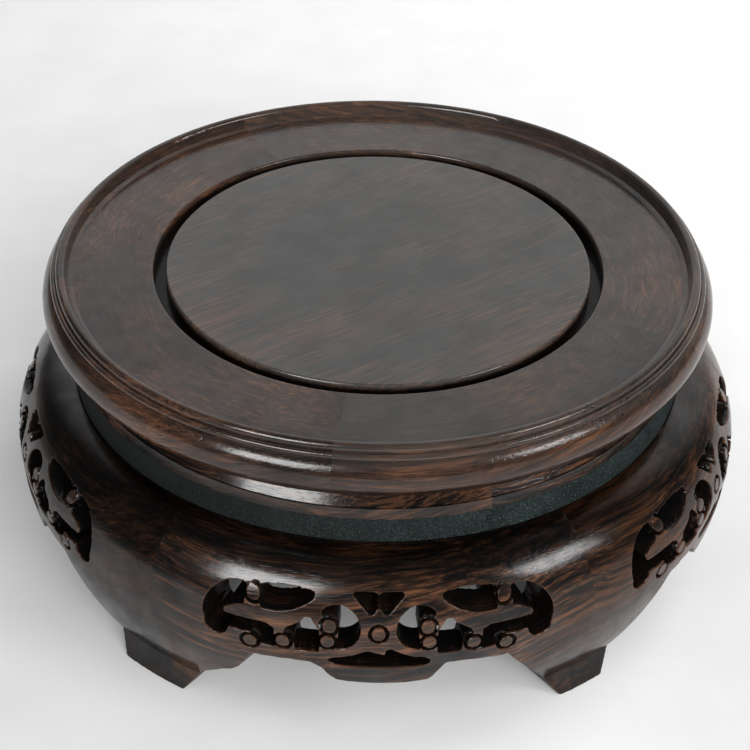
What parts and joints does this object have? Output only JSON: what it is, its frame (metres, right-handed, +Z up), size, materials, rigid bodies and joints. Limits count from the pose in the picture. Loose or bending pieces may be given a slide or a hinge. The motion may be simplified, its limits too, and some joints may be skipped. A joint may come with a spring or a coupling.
{
  "type": "display stand",
  "caption": "Round low hardwood stand with a lipped top and inset panel, a drawn-in waist, a bulging openwork apron and short out-turned feet, for setting a vase or bowl on.",
  "frame": {"origin": "On the floor under the centre of the stand", "axes": "+Z is up; one carved panel faces -Y; +X is to the right seen from that panel"},
  "size_m": [0.1992, 0.1992, 0.0837],
  "materials": {
    "top_wood": "polished dark rosewood, satin gloss",
    "panel_wood": "polished dark rosewood, satin gloss",
    "moulding_wood": "polished dark rosewood, gloss",
    "band_wood": "dark stained wood, matt",
    "apron_wood": "polished dark rosewood, gloss",
    "tongue_wood": "bare hardwood",
    "peg_wood": "bare hardwood"
  },
  "bodies": {
    "root": {"top_segment_1": "top_wood", "top_segment_2": "top_wood", "top_segment_3": "top_wood", "top_segment_4": "top_wood", "top_segment_5": "top_wood", "ring_spline_1": "tongue_wood", "ring_spline_2": "tongue_wood", "ring_spline_3": "tongue_wood", "ring_spline_4": "tongue_wood", "ring_spline_5": "tongue_wood", "centre_panel": "panel_wood", "waist_moulding_1": "moulding_wood", "waist_moulding_2": "moulding_wood", "waist_moulding_3": "moulding_wood", "waist_moulding_4": "moulding_wood", "waist_moulding_5": "moulding_wood", "waist_band": "band_wood", "waist_pegs": "peg_wood", "apron_segment_1": "apron_wood", "apron_segment_2": "apron_wood", "apron_segment_3": "apron_wood", "apron_segment_4": "apron_wood", "apron_segment_5": "apron_wood", "leg_spline_1": "tongue_wood", "leg_spline_2": "tongue_wood", "leg_spline_3": "tongue_wood", "leg_spline_4": "tongue_wood", "leg_spline_5": "tongue_wood"}
  },
  "joints": []
}
